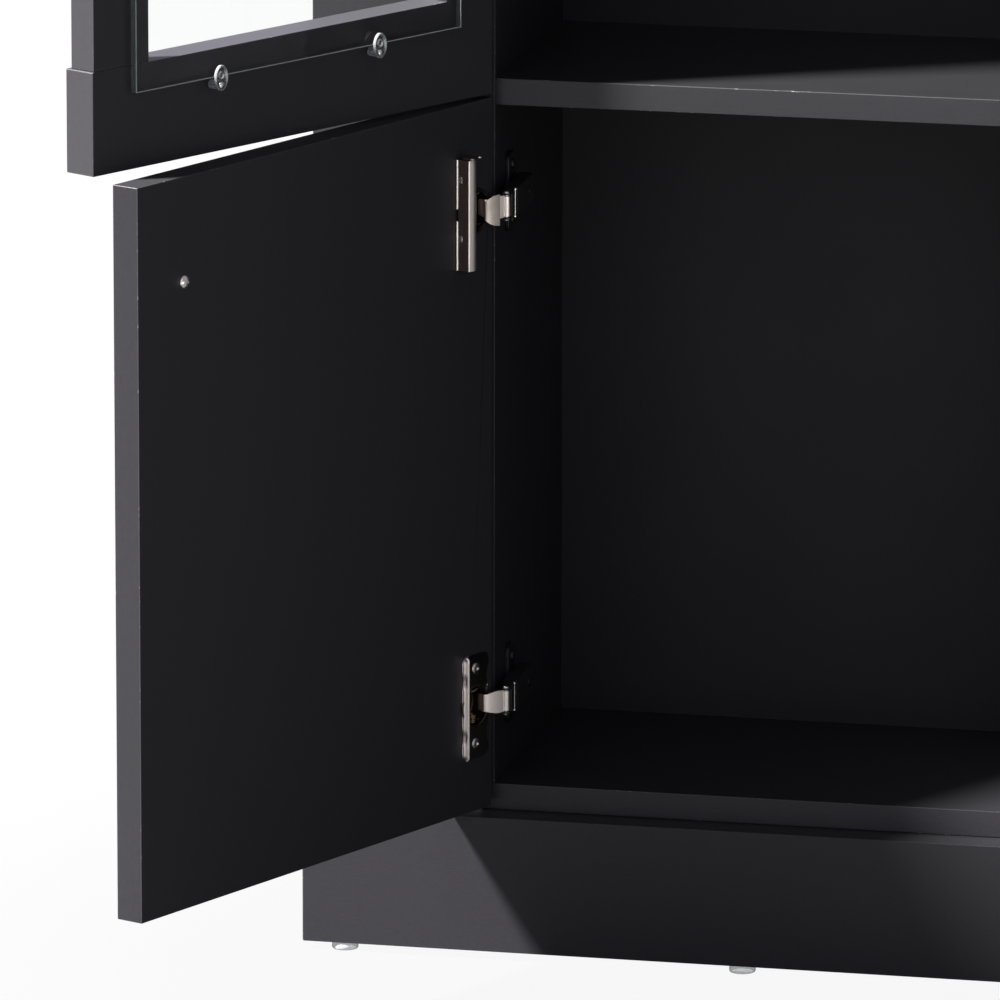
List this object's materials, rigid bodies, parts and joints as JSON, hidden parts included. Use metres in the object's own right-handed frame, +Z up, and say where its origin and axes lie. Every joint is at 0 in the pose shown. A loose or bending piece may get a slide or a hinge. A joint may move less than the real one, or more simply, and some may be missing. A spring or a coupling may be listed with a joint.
{
  "type": "display cabinet",
  "caption": "Narrow matt black display cabinet on a plinth, with a glazed upper door, a solid lower door, cup hinges, pilasters and wall fixing brackets.",
  "frame": {"origin": "centre of the front middle glide's underside, on the floor, on the cabinet's centreline", "axes": "+Z up, -Y out of the cabinet's front, +X to the right as seen from the front"},
  "size_m": [0.6206, 0.5193, 1.432],
  "materials": {
    "carcass_board": "matt black foil over chipboard",
    "front_board": "matt black foil, fine grain, edges banded",
    "back_board": "matt black hardboard",
    "peg_steel": "nickel plated",
    "bracket_steel": "zinc plated",
    "shelf_glass": "clear safety glass, polished edge",
    "door_glass": "clear float glass, polished edge",
    "glide_plastic": "light grey plastic",
    "clip_plastic": "clear plastic",
    "knob_metal": "satin nickel",
    "screw_steel": "bright zinc",
    "hinge_plate_steel": "nickel plated",
    "hinge_nickel": "warm nickel plate, polished"
  },
  "bodies": {
    "root": {"bottom_panel": "carcass_board", "top_panel": "carcass_board", "middle_shelf": "carcass_board", "back_panel": "back_board", "side_panel_left": "carcass_board", "pilaster_left": "front_board", "partition_left": "carcass_board", "shelf_peg_left_front": "peg_steel", "shelf_peg_left_rear": "peg_steel", "wall_bracket_left": "bracket_steel", "side_panel_right": "carcass_board", "pilaster_right": "front_board", "partition_right": "carcass_board", "shelf_peg_right_front": "peg_steel", "shelf_peg_right_rear": "peg_steel", "wall_bracket_right": "bracket_steel", "glass_shelf": "shelf_glass", "plinth_front": "front_board", "plinth_left": "front_board", "plinth_right": "front_board", "plinth_rear": "front_board", "glide_front_middle": "glide_plastic", "glide_front_left": "glide_plastic", "glide_front_right": "glide_plastic", "glide_rear_left": "glide_plastic", "glide_rear_right": "glide_plastic", "lower_door_hinge_bottom_mounting_plate": "hinge_plate_steel", "lower_door_hinge_bottom_arm": "hinge_nickel", "lower_door_hinge_top_mounting_plate": "hinge_plate_steel", "lower_door_hinge_top_arm": "hinge_nickel", "upper_door_hinge_bottom_mounting_plate": "hinge_plate_steel", "upper_door_hinge_bottom_arm": "hinge_nickel", "upper_door_hinge_top_mounting_plate": "hinge_plate_steel", "upper_door_hinge_top_arm": "hinge_nickel"},
    "lower_door": {"lower_door_panel": "front_board", "lower_door_knob": "knob_metal", "lower_door_knob_screw": "screw_steel", "lower_door_damper": "hinge_nickel", "lower_door_hinge_bottom_cup": "hinge_nickel", "lower_door_hinge_top_cup": "hinge_nickel"},
    "upper_door": {"upper_door_bottom_rail": "front_board", "upper_door_top_rail": "front_board", "upper_door_hinge_stile": "front_board", "upper_door_free_stile": "front_board", "upper_door_glass": "door_glass", "upper_door_knob": "knob_metal", "upper_door_knob_screw": "screw_steel", "glass_clip_bottom_outer": "clip_plastic", "glass_clip_bottom_inner": "clip_plastic", "glass_clip_top_outer": "clip_plastic", "glass_clip_top_inner": "clip_plastic", "glass_clip_free_side": "clip_plastic", "glass_clip_hinge_side": "clip_plastic", "upper_door_hinge_bottom_cup": "hinge_nickel", "upper_door_hinge_top_cup": "hinge_nickel"},
    "lower_links": {"lower_door_hinge_bottom_link": "hinge_nickel", "lower_door_hinge_top_link": "hinge_nickel"},
    "upper_links": {"upper_door_hinge_bottom_link": "hinge_nickel", "upper_door_hinge_top_link": "hinge_nickel"}
  },
  "joints": [
    {"name": "lower_door_swing", "type": "hinge", "parent": "root", "child": "lower_door", "pos_m": [-0.1645, 0.002, 0.309], "axis": [0, 0, 1], "range_deg": [-6, 114]},
    {"name": "upper_door_swing", "type": "hinge", "parent": "root", "child": "upper_door", "pos_m": [-0.1645, 0.002, 0.961], "axis": [0, 0, 1], "range_deg": [-0.5, 119.5]},
    {"name": "lower_links_swing", "type": "hinge", "parent": "root", "child": "lower_links", "pos_m": [-0.14595, 0.00403, 0.309], "axis": [0, 0, 1], "range_deg": [-37, 3]},
    {"name": "upper_links_swing", "type": "hinge", "parent": "root", "child": "upper_links", "pos_m": [-0.14595, 0.00403, 0.961], "axis": [0, 0, 1], "range_deg": [-38.5, 1.5]}
  ],
  "couplings": [
    {"joint": "lower_links_swing", "follows": "lower_door_swing", "ratio": -0.31272},
    {"joint": "upper_links_swing", "follows": "upper_door_swing", "ratio": -0.31272}
  ]
}
